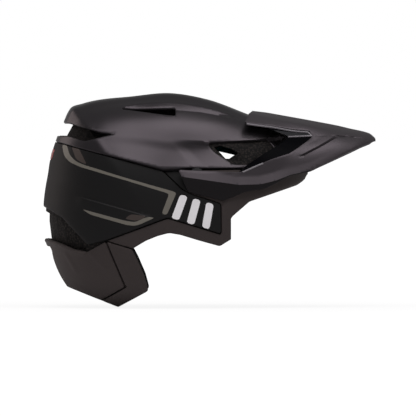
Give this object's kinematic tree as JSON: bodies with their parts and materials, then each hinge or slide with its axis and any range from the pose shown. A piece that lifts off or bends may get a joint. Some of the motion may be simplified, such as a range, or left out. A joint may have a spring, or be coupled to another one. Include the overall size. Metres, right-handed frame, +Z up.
{
  "type": "mountain bike helmet",
  "caption": "Open-face helmet with deep ear and neck cover, a tilting visor, a slip liner, a geared fit dial and a chin strap with a buckle.",
  "frame": {"origin": "centre of the wearer's head, inside the head space", "axes": "+X forward, +Y to the wearer's left, +Z up"},
  "size_m": [0.3571, 0.2126, 0.2303],
  "materials": {
    "crown_shell": "satin moulded shell",
    "side_wrap_shell": "matt moulded shell with olive and brown stripes",
    "trim": "matt warm black trim",
    "visor": "matt outside, gloss bevels at the windows",
    "reflector": "plain red reflector",
    "foam": "expanded foam with a beaded surface",
    "slip": "smooth dark teal sheet",
    "rubber": "soft moulded rubber",
    "pad": "knitted cover over soft foam",
    "fitting": "fine-textured nylon",
    "pinion": "natural acetal",
    "pin": "plated steel",
    "webbing": "woven nylon webbing"
  },
  "bodies": {
    "helmet": {"crown_shell": "crown_shell", "side_wrap_shell": "side_wrap_shell", "lower_trim": "trim", "neck_shell": "trim", "ear_cover_left": "trim", "ear_cover_right": "trim", "rear_reflector": "reflector", "liner_upper": "foam", "liner_lower": "foam", "slip_anchors": "rubber", "ear_pad_left": "pad", "ear_pad_right": "pad", "nape_pads": "pad", "visor_pin_left": "pin", "visor_pin_right": "pin", "ratchet_disc_left": "fitting", "ratchet_disc_right": "fitting", "height_rail": "fitting", "strap_rivets": "fitting", "front_strap_left": "webbing", "front_strap_right": "webbing", "rear_strap_left": "webbing", "rear_strap_right": "webbing", "strap_divider_left": "fitting", "strap_divider_right": "fitting", "chin_strap_left": "webbing", "chin_strap_right": "webbing", "buckle_socket": "fitting", "strap_keeper": "rubber"},
    "visor": {"visor": "visor"},
    "slip_layer": {"slip_liner": "slip", "brow_pad": "pad", "crown_pads": "pad", "side_pad_left": "pad", "side_pad_right": "pad"},
    "cradle": {"dial_housing": "fitting", "housing_cover": "fitting"},
    "dial": {"dial_knob": "fitting", "drive_pinion": "pinion"},
    "band_left": {"fit_band_left": "fitting"},
    "band_right": {"fit_band_right": "fitting"},
    "buckle_tongue": {"buckle_tongue": "fitting"}
  },
  "joints": [
    {"name": "visor_tilt", "type": "hinge", "parent": "helmet", "child": "visor", "pos_m": [0.027, 0, 0.0324], "axis": [0, -1, 0], "range_deg": [0, 20]},
    {"name": "slip_turn", "type": "hinge", "parent": "helmet", "child": "slip_layer", "pos_m": [0, 0, 0], "axis": [0, 0, 1], "range_deg": [-3, 3], "stiffness_Nm_per_rad": 2},
    {"name": "cradle_height", "type": "slide", "parent": "helmet", "child": "cradle", "axis": [0, 0, 1], "range_m": [-0.007, 0.007]},
    {"name": "dial_turn", "type": "hinge", "parent": "cradle", "child": "dial", "pos_m": [-0.11, 0, -0.066], "axis": [1, 0, 0], "range_deg": [0, 103.13]},
    {"name": "band_left_in", "type": "slide", "parent": "cradle", "child": "band_left", "axis": [0, -1, 0], "range_m": [0, 0.009]},
    {"name": "band_right_in", "type": "slide", "parent": "cradle", "child": "band_right", "axis": [0, 1, 0], "range_m": [0, 0.009]},
    {"name": "buckle_release", "type": "slide", "parent": "helmet", "child": "buckle_tongue", "axis": [0, 1, 0], "range_m": [0, 0.016], "deforming": ["chin_strap_left"]}
  ],
  "couplings": [
    {"joint": "band_left_in", "follows": "dial_turn", "m_per_rad": 0.005},
    {"joint": "band_right_in", "follows": "dial_turn", "m_per_rad": 0.005}
  ]
}
